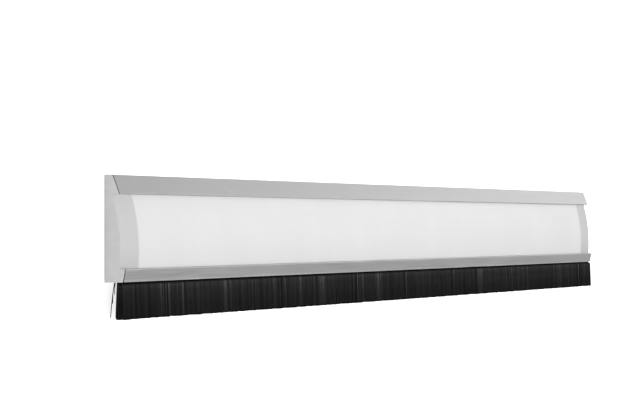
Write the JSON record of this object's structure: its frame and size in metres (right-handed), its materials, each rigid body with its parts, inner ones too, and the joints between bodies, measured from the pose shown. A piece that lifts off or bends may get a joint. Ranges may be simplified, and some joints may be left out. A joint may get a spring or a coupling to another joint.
{
  "type": "door draught strip",
  "caption": "Door-bottom draught strip: bevelled aluminium profile with a screw channel, arched clip-in cover strip, end caps and a bristle brush in a groove along its lower edge.",
  "frame": {"origin": "centre of the strip's box at its back plane, midway between the top edge and the bristle tips", "axes": "+X along the strip, +Y towards the edge that is uppermost on the door, +Z out of the strip's face, away from the door"},
  "size_m": [1, 0.0486, 0.0069],
  "materials": {
    "silver_aluminium": "satin silver anodised extrusion",
    "white_cover": "smooth white extruded plastic with a soft sheen",
    "grey_cap": "light grey moulded plastic",
    "brush_back_plastic": "black plastic",
    "black_bristle": "black nylon filaments, slightly glossy"
  },
  "bodies": {
    "root": {"profile": "silver_aluminium", "cover_strip": "white_cover", "end_cap_left": "grey_cap", "end_cap_right": "grey_cap", "brush_back": "brush_back_plastic", "bristles": "black_bristle"}
  },
  "joints": []
}
